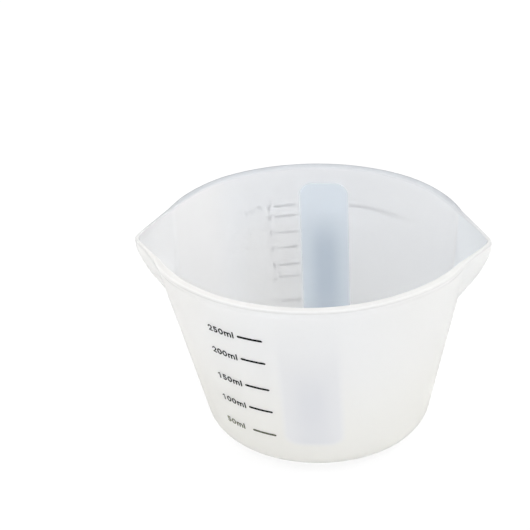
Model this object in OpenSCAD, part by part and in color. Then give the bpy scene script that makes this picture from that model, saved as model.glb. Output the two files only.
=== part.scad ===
// Two-spout measuring and mixing cup, moulded in one piece of soft clear silicone.
// X runs through both spouts, the millilitre scale is printed at the front (-Y), and the
// cup stands on Z = 0 with the origin under the middle of its base.

/* [Cup] */
// Length over both spout tips
spout_span = 116; // [112:1:130]
// Height from the table to the rim, away from the spouts
cup_height = 78; // [70:1:95]
// Length of the oval mouth over its bead, without the spouts
mouth_length = 106; // [100:1:109]
// Depth of the oval mouth over its bead, front to back
mouth_depth = 82.5; // [80:0.5:92]
// Length of the wall's outside, carried on down to the table
base_length = 76; // [70:1:86]
// Depth of the wall's outside, carried on down to the table
base_depth = 61.5; // [54:0.5:70]
// Thickness of the side wall
wall = 2.0; // [1.5:0.1:3]
// Thickness of the floor
floor_t = 2.5; // [1.5:0.1:4]
// Radius of the rounded edge between wall and base
base_edge_r = 9; // [4.5:0.5:10]

/* [Rim] */
// Height of the bead round the rim
bead_height = 2.6; // [2:0.1:4]
// How far the bead stands out of the wall
bead_proud = 0.8; // [0.4:0.1:1.2]
// Rounding of the rim's upper edges
rim_round = 0.6; // [0.3:0.1:0.7]
// How much lower the rim is at the spout tips
rim_dip = 2.8; // [0:0.1:4]
// Distance from the middle at which the rim starts to dip
dip_start = 30; // [20:1:40]

/* [Spouts] */
// Height from the rim down to where a spout's ridge runs into the wall
spout_depth = 23; // [16:0.5:28]
// Height of the upright lip under a spout's tip
lip_height = 3; // [2:0.5:8]
// How far a spout's ridge bows out between wall and lip; 1 is a straight ridge
spout_bow = 2.1; // [1:0.1:3]
// Turn round the wall from a spout's ridge to its crease, at the rim
spout_turn_rim = 21; // [17:0.5:24]
// How soon a spout widens above its root; 1 widens evenly up to the rim
spout_spread = 0.4; // [0.3:0.05:1]
// How blunt a spout's ridge is at the rim
rim_blunt = 2; // [1:0.1:4]
// How blunt a spout's ridge is where it runs into the wall
root_blunt = 7; // [2:0.5:9]
// Thickness of a spout's wall at its lip
spout_lip_t = 1.2; // [0.9:0.1:1.5]

/* [Windows] */
// Width of the polished window in the front wall
front_window_width = 19.6; // [16:0.2:22]
// Width of the polished window in the back wall
back_window_width = 17.4; // [15:0.2:20]
// How far both windows stand off the middle, to +X
window_shift = 1.5; // [0:0.5:2.5]
// Height of a window's lower end above the table
window_bottom = 14; // [12:1:20]
// Distance from the rim down to a window's upper end
window_top_gap = 6; // [5:0.5:9]
// Corner radius of a window
window_corner = 4.5; // [3:0.5:6]
// How deep a window is sunk into the outside
window_step = 0.3; // [0.1:0.05:0.5]

/* [Printed scales] */
// Thickness of the ink film
ink = 0.12; // [0.08:0.01:0.2]
// Clearance between the film and the wall
ink_gap = 0.03; // [0.02:0.01:0.05]
// Height of a printed line
line_t = 0.8; // [0.4:0.05:0.9]
// Height of the numerals
numeral_h = 2.5; // [1.8:0.1:2.7]
// Width of the numerals as a share of their widest drawing
numeral_squeeze = 0.86; // [0.7:0.01:0.88]
// Width of the numerals' strokes
stroke_w = 0.42; // [0.25:0.01:0.5]
// Length of the millilitre lines
ml_line_l = 8.5; // [6:0.5:10]
// Turn from the middle of the front wall to the millilitre lines, at the rim
ml_turn_rim = 14.2; // [14:0.1:18]
// The same turn at the table
ml_turn_foot = 16.2; // [16:0.1:20]
// Distance from the start of the millilitre numerals to their lines
ml_label_reach = 10.7; // [10.5:0.1:14]
// Length of the ounce lines
oz_line_l = 7.8; // [6:0.1:9]
// Turn from the middle of the back wall to the ounce lines
oz_turn = 10.4; // [10.2:0.1:14]
// Clear space between an ounce line and its numeral
oz_label_gap = 0.8; // [0.5:0.1:1.5]
// Clear space between the back window and the one-cup line
cup_line_gap = 0.4; // [0.3:0.1:2]
// Length of the one-cup line
cup_line_l = 10.3; // [7:0.1:12]
// Distance from the start of the one-cup label to its line
cup_label_reach = 8.4; // [8.4:0.1:9]

/* [Heights of the printed lines] */
// Height of the 250 ml line
ml_250_z = 63.1; // [60:0.1:65]
// Height of the 200 ml line
ml_200_z = 52.8; // [50:0.1:55]
// Height of the 150 ml line
ml_150_z = 40.2; // [37:0.1:42]
// Height of the 100 ml line
ml_100_z = 29.2; // [26:0.1:31]
// Height of the 50 ml line
ml_50_z = 17.3; // [15:0.1:19]
// Height of the 9 oz line and of the one-cup line
oz_9_z = 62.9; // [62:0.1:65]
// Height of the 8 oz line
oz_8_z = 58.8; // [56:0.1:59]
// Height of the 7 oz line
oz_7_z = 52.3; // [50.5:0.1:53]
// Height of the 6 oz line
oz_6_z = 46.2; // [44:0.1:47.5]
// Height of the 5 oz line
oz_5_z = 39.2; // [37.5:0.1:41]
// Height of the 4 oz line
oz_4_z = 34.2; // [32.5:0.1:34.5]
// Height of the 3 oz line
oz_3_z = 24.1; // [22:0.1:27]

/* [Hidden] */

silicone = [0.93, 0.94, 0.94, 0.85];
black_ink = [0.06, 0.06, 0.06];

// Directions round the wall, in degrees of the oval's own angle
FRONT = 270;
BACK = 90;

// The wall's outside at the rim, inside the bead
wall_top_a = mouth_length / 2 - bead_proud;
wall_top_b = mouth_depth / 2 - bead_proud;
base_a = base_length / 2;
base_b = base_depth / 2;
slope_a = (wall_top_a - base_a) / cup_height;
slope_b = (wall_top_b - base_b) / cup_height;

// In plan a spout is a V between two creases in the oval. At the tip its ridge moves by
// tip_factor when the sides of the V move by one.
tip_x = spout_span / 2;
tip_half_angle = atan(wall_top_b * sin(spout_turn_rim) / (tip_x - wall_top_a * cos(spout_turn_rim)));
tip_factor = 1 / sin(tip_half_angle);
root_z = cup_height - spout_depth;
lip_z = cup_height - lip_height;
dip_from_z = cup_height / 2;

window_top = cup_height - window_top_gap;
window_edge = 0.3;

// Half axes of the wall's outside and the reach of a spout's ridge at height z
function wall_a(z) = base_a + slope_a * z;
function wall_b(z) = base_b + slope_b * z;
function ridge(z) =
    z >= lip_z ? tip_x :
    z <= root_z ? wall_a(z) :
    wall_a(z) + (tip_x - wall_a(lip_z)) * (1 - pow((lip_z - z) / (lip_z - root_z), spout_bow));
function ridge_factor(z) =
    1 + (tip_factor - 1) * min(1, (ridge(z) - wall_a(z)) / (tip_x - wall_a(lip_z)));

// Turn from a spout's ridge to its crease at height z
function crease_turn(z) = spout_turn_rim * pow(max(0, (z - root_z) / spout_depth), spout_spread);

// Share of the bead that is left at a turn from the ridge: the spouts' lips have none
bead_from = 0.55;
bead_full = 1.5;
function bead_share(turn) =
    max(0, min(1, (turn / spout_turn_rim - bead_from) / (bead_full - bead_from)));

// Share of the wall's thickness at a turn and a height: a spout's wall thins up to its lip
function wall_share(turn, z) =
    1 - (1 - spout_lip_t / wall) * (1 - bead_share(turn)) * max(0, (z - root_z) / spout_depth);

// How blunt a spout's ridge is at height z
function blunt(z) =
    rim_blunt + (root_blunt - rim_blunt) * max(0, min(1, (cup_height - z) / spout_depth));

// The rim and what lies close under it sink towards the spout tips
function dip(x, z) =
    rim_dip
    * max(0, (z - dip_from_z) / (cup_height - dip_from_z))
    * pow(max(0, (abs(x) - dip_start) / (tip_x - dip_start)), 2);

// Share of the window's full depth at a place x, z of the wall: 1 inside, 0 outside
function window_share(x, z, width) =
    let (
        half_w = width / 2 - window_corner,
        half_h = (window_top - window_bottom) / 2 - window_corner,
        qx = abs(x - window_shift) - half_w,
        qz = abs(z - (window_top + window_bottom) / 2) - half_h,
        outside = norm([max(qx, 0), max(qz, 0)]) + min(max(qx, qz), 0) - window_corner
    )
    max(0, min(1, 0.5 - outside / window_edge));

// Columns of the skin over one half of the plan, from the +X ridge to the -X ridge.
// Each is [kind, value, side]: a share of the quarter oval on that side, or a share of the
// window's half width.
QUARTER = 0;
WINDOW = 1;
quarter_steps = 15;
spout_share = 0.4;
least_spout_turn = 12;
window_columns = [1, 0.95, 0.78, 0.52, 0.26, 0, -0.26, -0.52, -0.78, -0.95, -1];
half_columns = concat(
    [for (i = [0 : quarter_steps - 1]) [QUARTER, i / quarter_steps, 1]],
    [for (w = window_columns) [WINDOW, w, 1]],
    [for (i = [quarter_steps - 1 : -1 : 0]) [QUARTER, i / quarter_steps, -1]]
);
half_count = len(half_columns);
ring_count = 2 * half_count - 2;

// A point of a quarter of the ring at height z, at share f of the way from the ridge to the
// window, which begins window_x from the middle. It lies off the wall by inset, and by bead
// where there is a bead.
function quarter_point(z, inset, bead, f, window_x) =
    let (
        spout_turn = crease_turn(z),
        split_turn = max(spout_turn, least_spout_turn),
        window_turn = acos(window_x / (wall_a(z) + inset + bead)),
        turn = f < spout_share
            ? split_turn * f / spout_share
            : split_turn + (window_turn - split_turn) * (f - spout_share) / (1 - spout_share),
        offset = inset * wall_share(turn, z) + bead * bead_share(turn),
        a = wall_a(z) + offset,
        b = wall_b(z) + offset,
        l = ridge(z) + offset * ridge_factor(z),
        q = blunt(z),
        y = a * sin(spout_turn) * (spout_turn > 0 ? turn / spout_turn : 0),
        run = sqrt(pow(a * sin(spout_turn), 2) + q * q) - q,
        fall = run > 0 ? (l - a * cos(spout_turn)) / run : 0
    )
    turn >= spout_turn
        ? [a * cos(turn), b * sin(turn)]
        : [l - fall * (sqrt(y * y + q * q) - q), y * b / a];

// A point of the skin: row is [height, offset from the wall's outside, further offset where
// there is a bead, 1 on the outside]
function skin_point(row, column, mirrored) =
    let (
        z = row[0],
        a = wall_a(z) + row[1] + row[2],
        b = wall_b(z) + row[1] + row[2],
        width = mirrored ? front_window_width : back_window_width,
        half = width / 2 + window_edge,
        window_x = window_shift + column[1] * half,
        p = column[0] == QUARTER
            ? quarter_point(z, row[1], row[2], column[1], half + column[2] * window_shift)
            : [window_x, b * sqrt(1 - pow(window_x / a, 2))],
        x = p[0] * column[2],
        y = p[1] - (column[0] == WINDOW ? row[3] * window_step * window_share(x, z, width) : 0)
    )
    [x, mirrored ? -y : y, z - dip(x, z)];

function ring(row) = concat(
    [for (c = half_columns) skin_point(row, c, false)],
    [for (i = [half_count - 2 : -1 : 1]) skin_point(row, half_columns[i], true)]
);

// Heights from lo (left out) to hi in n equal steps
function climb(lo, hi, n) = [for (i = [1 : n]) lo + (hi - lo) * i / n];

// Rows of a rounded lower edge of radius r over a floor at height z0, where the straight wall
// has the offset d: the round is tangent to both
edge_steps = 5;
lean = atan(slope_a);
function edge_rows(r, z0, d, side) = [
    for (i = [0 : edge_steps])
        let (
            up = -90 + (90 - lean) * i / edge_steps,
            z = z0 + r + r * sin(up),
            centre = slope_a * (z0 + r) - r / cos(lean) + d
        )
        [z, centre + r * cos(up) - slope_a * z, 0, side]
];

inner_edge_r = base_edge_r - wall;
edge_top = base_edge_r * (1 - sin(lean));
inner_edge_top = floor_t + inner_edge_r * (1 - sin(lean));
bead_foot = cup_height - bead_height;
// The bead's foot swells at once by this share, and the rim's upper edge is cut at this share
foot_share = 0.7;
bevel_share = 0.3;
half_edge = window_edge / 2;
outer_heights = concat(
    climb(edge_top, window_bottom - half_edge, 2),
    [window_bottom + half_edge],
    climb(window_bottom + half_edge, window_bottom + window_corner, 2),
    climb(window_bottom + window_corner, root_z, 4),
    climb(root_z, window_top - window_corner, 4),
    climb(window_top - window_corner, window_top - half_edge, 2),
    [window_top + half_edge],
    climb(window_top + half_edge, bead_foot - bead_proud / 2, 2)
);
outer_rows = concat(
    edge_rows(base_edge_r, 0, 0, 1),
    [for (z = outer_heights) [z, 0, 0, 1]],
    [
        [bead_foot, 0, bead_proud * foot_share, 1],
        [bead_foot + bead_proud / 2, 0, bead_proud, 1],
        [cup_height - rim_round, 0, bead_proud, 1],
        [cup_height - rim_round * bevel_share, -rim_round * bevel_share, bead_proud, 1],
        [cup_height, -rim_round, bead_proud, 1]
    ]
);
inner_heights = concat(
    climb(inner_edge_top, root_z, 5),
    climb(root_z, cup_height - rim_round, 6)
);
inner_up = concat(
    edge_rows(inner_edge_r, floor_t, -wall, 0),
    [for (z = inner_heights) [z, -wall, 0, 0]],
    [[cup_height, rim_round - wall, 0, 0]]
);
inner_rows = [for (i = [len(inner_up) - 1 : -1 : 0]) inner_up[i]];
rows = concat(outer_rows, inner_rows);
row_count = len(rows);

module cup_body() {
    points = concat(
        [for (r = rows) each ring(r)],
        [[0, 0, 0], [0, 0, floor_t]]
    );
    under = row_count * ring_count;
    last = (row_count - 1) * ring_count;
    faces = concat(
        [for (j = [0 : row_count - 2]) for (i = [0 : ring_count - 1])
            let (n = (i + 1) % ring_count, low = j * ring_count, high = low + ring_count)
            each [
                [low + i, high + i, high + n],
                [low + i, high + n, low + n]
            ]],
        [for (i = [0 : ring_count - 1]) [under, i, (i + 1) % ring_count]],
        [for (i = [0 : ring_count - 1]) [under + 1, last + (i + 1) % ring_count, last + i]]
    );
    color(silicone) polyhedron(points, faces);
}

// Places on the wall's outside, by the oval's own angle t and the height z
function speed(t, z) = norm([wall_a(z) * sin(t), wall_b(z) * cos(t)]) * PI / 180;
function walk(t, z, distance) = t + distance / speed(t + distance / speed(t, z) / 2, z);
function facing(t, z) = atan2(sin(t) / wall_b(z), cos(t) / wall_a(z));
function wall_lean(t, z) =
    atan(slope_a * cos(t) * cos(facing(t, z)) + slope_b * sin(t) * sin(facing(t, z)));
function wall_point(t, z, proud) =
    let (n = facing(t, z))
    [wall_a(z) * cos(t) + proud * cos(n), wall_b(z) * sin(t) + proud * sin(n), z];

// A printed line: a thin strip that follows the wall, with round ends
line_end_steps = 3;
line_middle_steps = 5;
line_end_turn = 80;
module printed_line(t_start, z, length) {
    r = line_t / 2;
    stations = concat(
        [for (i = [0 : line_end_steps]) let (a = line_end_turn * (1 - i / line_end_steps))
            [r - r * sin(a), r * cos(a)]],
        [for (s = climb(r, length - r, line_middle_steps)) [s, r]],
        [for (i = [1 : line_end_steps]) let (a = line_end_turn * i / line_end_steps)
            [length - r + r * sin(a), r * cos(a)]]
    );
    points = [
        for (s = stations)
            let (t = walk(t_start, z, s[0]))
            each [
                wall_point(t, z - s[1], ink_gap),
                wall_point(t, z - s[1], ink_gap + ink),
                wall_point(t, z + s[1], ink_gap + ink),
                wall_point(t, z + s[1], ink_gap)
            ]
    ];
    last = 4 * (len(stations) - 1);
    faces = concat(
        [[0, 1, 2], [0, 2, 3]],
        [for (j = [0 : 4 : last - 4]) for (i = [0 : 3])
            let (n = (i + 1) % 4)
            each [
                [j + i, j + 4 + i, j + 4 + n],
                [j + i, j + 4 + n, j + n]
            ]],
        [[last, last + 2, last + 1], [last, last + 3, last + 2]]
    );
    color(black_ink) polyhedron(points, faces);
}

// The strokes of a numeral or letter lie on a grid on which a numeral is 1 high
bend_step = 36;
function bend(cx, cy, r, a0, a1) =
    let (n = ceil(abs(a1 - a0) / bend_step))
    [for (i = [0 : n]) let (a = a0 + (a1 - a0) * i / n) [cx + r * cos(a), cy + r * sin(a)]];

// Direction across a path at its point i, long enough to keep the stroke's width in a corner
function across(path, i) =
    let (
        before = path[max(i - 1, 0)],
        after = path[min(i + 1, len(path) - 1)],
        d0 = i > 0 ? path[i] - before : after - path[i],
        d1 = i < len(path) - 1 ? after - path[i] : d0,
        n0 = [-d0[1], d0[0]] / norm(d0),
        n1 = [-d1[1], d1[0]] / norm(d1),
        both = n0 + n1
    )
    both * 2 / (both * both);

module stroke(path) {
    h = stroke_w / numeral_h / 2;
    polygon(concat(
        [for (i = [0 : len(path) - 1]) path[i] + across(path, i) * h],
        [for (i = [len(path) - 1 : -1 : 0]) path[i] - across(path, i) * h]
    ));
}

// A closed round or upright-oval stroke of radius r, the oval being taller by 2 * stretch
module loop_stroke(cx, cy, r, stretch) {
    h = stroke_w / numeral_h / 2;
    outer = concat(
        bend(cx, cy + stretch, r + h, 0, 180),
        bend(cx, cy - stretch, r + h, 180, 360)
    );
    inner = concat(
        bend(cx, cy + stretch, r - h, 0, 180),
        bend(cx, cy - stretch, r - h, 180, 360)
    );
    difference() {
        polygon(outer);
        polygon(inner);
    }
}

// One numeral or letter
module glyph(c) {
    if (c == "0") loop_stroke(0.36, 0.5, 0.31, 0.11);
    if (c == "1") stroke([[0.12, 0.74], [0.4, 0.93], [0.4, 0]]);
    if (c == "2") stroke(concat(bend(0.35, 0.63, 0.28, 165, -35), [[0.1, 0.08], [0.7, 0.08]]));
    if (c == "3") {
        stroke(bend(0.33, 0.7, 0.21, 150, -90));
        stroke(bend(0.33, 0.29, 0.23, 80, -150));
    }
    if (c == "4") {
        stroke([[0.52, 0], [0.52, 0.88], [0.1, 0.27]]);
        stroke([[0.06, 0.27], [0.72, 0.27]]);
    }
    if (c == "5") {
        stroke([[0.62, 0.92], [0.16, 0.92], [0.13, 0.45]]);
        stroke(bend(0.33, 0.31, 0.25, 130, -150));
    }
    if (c == "6") {
        loop_stroke(0.35, 0.3, 0.24, 0);
        stroke([[0.185, 0.5], [0.46, 0.95]]);
    }
    if (c == "7") stroke([[0.04, 0.92], [0.6, 0.92], [0.26, 0]]);
    if (c == "8") {
        loop_stroke(0.35, 0.28, 0.22, 0);
        loop_stroke(0.35, 0.72, 0.2, 0);
    }
    if (c == "9") {
        loop_stroke(0.35, 0.7, 0.24, 0);
        stroke([[0.515, 0.5], [0.24, 0.05]]);
    }
    if (c == "m") {
        stroke([[0.1, 0], [0.1, 0.72]]);
        stroke(concat(bend(0.34, 0.42, 0.24, 180, 0), [[0.58, 0]]));
        stroke(concat(bend(0.82, 0.42, 0.24, 180, 0), [[1.06, 0]]));
    }
    if (c == "l") stroke([[0.1, 0], [0.1, 1]]);
    if (c == "f") {
        stroke(concat([[0.2, 0]], bend(0.38, 0.78, 0.18, 180, 60)));
        stroke([[0.04, 0.6], [0.44, 0.6]]);
    }
    if (c == "o") loop_stroke(0.33, 0.33, 0.25, 0);
    if (c == "z") stroke([[0.06, 0.6], [0.5, 0.6], [0.1, 0.08], [0.54, 0.08]]);
    if (c == "c") stroke(bend(0.34, 0.33, 0.25, 50, 310));
    if (c == "u") {
        stroke(concat([[0.1, 0.66]], bend(0.32, 0.3, 0.22, 180, 360)));
        stroke([[0.54, 0.66], [0.54, 0]]);
    }
    if (c == "p") {
        stroke([[0.1, 0.66], [0.1, -0.3]]);
        loop_stroke(0.35, 0.33, 0.25, 0);
    }
}

// How far one glyph moves the next along, in numeral heights
function advance(c) = c == "m" ? 1.36 : c == "l" ? 0.4 : c == "f" ? 0.56 : c == " " ? 0.6 : 0.94;
function advance_to(word, i) = i <= 0 ? 0 : advance(word[i - 1]) + advance_to(word, i - 1);

// A printed word: each glyph is a flat film that lies tangent on the wall at its own place,
// and the middle of the word's height is at height z
module printed_word(word, t_start, z) {
    foot_z = z - numeral_h / 2;
    glyph_w = numeral_h * numeral_squeeze;
    color(black_ink)
    for (i = [0 : len(word) - 1])
        if (word[i] != " ") {
            half = advance(word[i]) / 2;
            t = walk(t_start, z, (advance_to(word, i) + half) * glyph_w);
            translate(wall_point(t, foot_z, ink_gap))
                rotate([0, 0, facing(t, foot_z) + 90])
                rotate([90 + wall_lean(t, foot_z), 0, 0])
                linear_extrude(height = ink)
                scale([glyph_w, numeral_h])
                translate([-half, 0])
                glyph(word[i]);
        }
}

// Where the lines and words of each scale start
function ml_turn(z) = ml_turn_foot + (ml_turn_rim - ml_turn_foot) * z / cup_height;
function ml_line_start(z) = walk(FRONT - ml_turn(z), z, -ml_line_l);
function ml_word_start(z) = walk(ml_line_start(z), z, -ml_label_reach);
oz_line_start = BACK + oz_turn;
function oz_word_start(z) = walk(oz_line_start, z, oz_line_l + oz_label_gap);
function cup_line_start(z) =
    walk(BACK - asin((window_shift + back_window_width / 2 + cup_line_gap) / wall_a(z)), z, -cup_line_l);
function cup_word_start(z) = walk(cup_line_start(z), z, -cup_label_reach);

module ml_line(z) { printed_line(ml_line_start(z), z, ml_line_l); }
module ml_word(word, z) { printed_word(word, ml_word_start(z), z); }
module oz_line(z) { printed_line(oz_line_start, z, oz_line_l); }
module oz_word(word, z) { printed_word(word, oz_word_start(z), z); }

cup_body();
ml_line(ml_250_z);  // line_250_ml
ml_line(ml_200_z);  // line_200_ml
ml_line(ml_150_z);  // line_150_ml
ml_line(ml_100_z);  // line_100_ml
ml_line(ml_50_z);  // line_50_ml
ml_word("250ml", ml_250_z);  // numerals_250_ml
ml_word("200ml", ml_200_z);  // numerals_200_ml
ml_word("150ml", ml_150_z);  // numerals_150_ml
ml_word("100ml", ml_100_z);  // numerals_100_ml
ml_word("50ml", ml_50_z);  // numerals_50_ml
oz_line(oz_9_z);  // line_9_oz
oz_line(oz_8_z);  // line_8_oz
oz_line(oz_7_z);  // line_7_oz
oz_line(oz_6_z);  // line_6_oz
oz_line(oz_5_z);  // line_5_oz
oz_line(oz_4_z);  // line_4_oz
oz_line(oz_3_z);  // line_3_oz
oz_word("9 fl oz", oz_9_z);  // numerals_9_oz
oz_word("8", oz_8_z);  // numeral_8_oz
oz_word("7", oz_7_z);  // numeral_7_oz
oz_word("6", oz_6_z);  // numeral_6_oz
oz_word("5", oz_5_z);  // numeral_5_oz
oz_word("4", oz_4_z);  // numeral_4_oz
oz_word("3", oz_3_z);  // numeral_3_oz
printed_line(cup_line_start(oz_9_z), oz_9_z, cup_line_l);  // line_one_cup
printed_word("1cup", cup_word_start(oz_9_z), oz_9_z);  // numerals_one_cup
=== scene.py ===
"""Two-spout silicone mixing cup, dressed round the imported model.

Sizes are millimetres in the classes and metres in the meshes. X runs through both spouts, the
millilitre scale is at the front (-Y), and the cup stands on Z = 0.
"""

import logging
import math
from dataclasses import dataclass
from enum import Enum

import bpy
import numpy as np
from mathutils import Matrix, Vector


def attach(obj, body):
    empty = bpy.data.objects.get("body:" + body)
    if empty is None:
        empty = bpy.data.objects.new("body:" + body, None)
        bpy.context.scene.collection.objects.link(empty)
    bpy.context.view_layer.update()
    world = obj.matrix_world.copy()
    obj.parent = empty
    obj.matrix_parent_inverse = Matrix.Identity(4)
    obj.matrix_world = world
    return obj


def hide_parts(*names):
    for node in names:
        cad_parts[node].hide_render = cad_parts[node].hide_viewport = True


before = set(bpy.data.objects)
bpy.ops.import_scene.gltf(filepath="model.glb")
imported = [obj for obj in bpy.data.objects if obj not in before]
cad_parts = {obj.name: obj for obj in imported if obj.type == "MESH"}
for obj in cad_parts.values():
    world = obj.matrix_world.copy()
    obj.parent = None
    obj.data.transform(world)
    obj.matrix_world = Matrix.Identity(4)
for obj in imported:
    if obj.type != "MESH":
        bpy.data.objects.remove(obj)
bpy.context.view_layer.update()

MM = 0.001
# Keeps divisions by zero out of the spouts' formulas
TINY = 1e-9
NO_TRIANGLES = np.zeros((0, 3), int)
IMAGE_SIZE = 530
# Values of the attribute rim_edge on the rim's flat top and on its outer edge
RIM_FLAT = 0.5
RIM_OUTER = 1.0
WHITE = (1.0, 1.0, 1.0, 1.0)
Socket = bpy.types.NodeSocket
Sockets = bpy.types.bpy_prop_collection
log = logging.getLogger("mixing_cup")


class Side(Enum):
    """Which half of the wall something lies on."""

    FRONT = -1
    BACK = 1


def smooth_step(value: np.ndarray) -> np.ndarray:
    """Eases 0..1 with no slope at either end: 3 v^2 - 2 v^3, held at 0 and 1 outside."""
    held = np.clip(value, 0.0, 1.0)
    return held * held * (3.0 - 2.0 * held)


def steps(first: float, last: float, count: int) -> np.ndarray:
    """Even steps from first, which is left out, to last.

    Args:
        first: The value before the first step.
        last: The last value.
        count: How many values.

    Returns:
        The values.
    """
    return first + (last - first) * np.arange(1, count + 1) / count


def chain(stops: list[float], counts: list[int]) -> np.ndarray:
    """Even steps from each stop to the next.

    Args:
        stops: The values at which the step changes, and both ends.
        counts: How many values each stretch has.

    Returns:
        The values, without the first stop.
    """
    return np.concatenate([steps(*ends) for ends in zip(stops, stops[1:], counts)])


def profile(z: np.ndarray, offset: np.ndarray, bead: np.ndarray) -> np.ndarray:
    """Puts the height, the offset and the further offset of the bead side by side, one row each."""
    return np.stack(np.broadcast_arrays(z, offset, bead), axis=1)


def build_mesh(
    name: str,
    points: np.ndarray,
    quads: np.ndarray,
    triangles: np.ndarray = NO_TRIANGLES,
    smooth: bool = True,
) -> bpy.types.Object:
    """Puts whole arrays into a mesh object at the origin.

    Args:
        name: The object's name.
        points: Corner places in millimetres, one row each.
        quads: Four corner numbers a row.
        triangles: Three corner numbers a row.
        smooth: Whether the faces are shaded smoothly.

    Returns:
        The new object, linked to the scene.
    """
    mesh = bpy.data.meshes.new(name)
    mesh.vertices.add(len(points))
    mesh.vertices.foreach_set("co", (points * MM).astype(np.float32).ravel())
    corners = np.concatenate([quads.ravel(), triangles.ravel()]).astype(np.int32)
    mesh.loops.add(len(corners))
    mesh.loops.foreach_set("vertex_index", corners)
    quad_starts = np.arange(len(quads)) * 4
    triangle_starts = len(quads) * 4 + np.arange(len(triangles)) * 3
    starts = np.concatenate([quad_starts, triangle_starts]).astype(np.int32)
    mesh.polygons.add(len(starts))
    mesh.polygons.foreach_set("loop_start", starts)
    mesh.polygons.foreach_set("use_smooth", np.full(len(starts), smooth))
    mesh.update(calc_edges=True)
    piece = bpy.data.objects.new(name, mesh)
    bpy.context.scene.collection.objects.link(piece)
    return piece


def set_point_value(piece: bpy.types.Object, name: str, values: np.ndarray) -> None:
    """Stores one number a corner, for a material to read.

    Args:
        piece: The mesh object.
        name: The attribute's name.
        values: One number for each corner.
    """
    attribute = piece.data.attributes.new(name, "FLOAT", "POINT")
    attribute.data.foreach_set("value", values.astype(np.float32).ravel())


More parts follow.
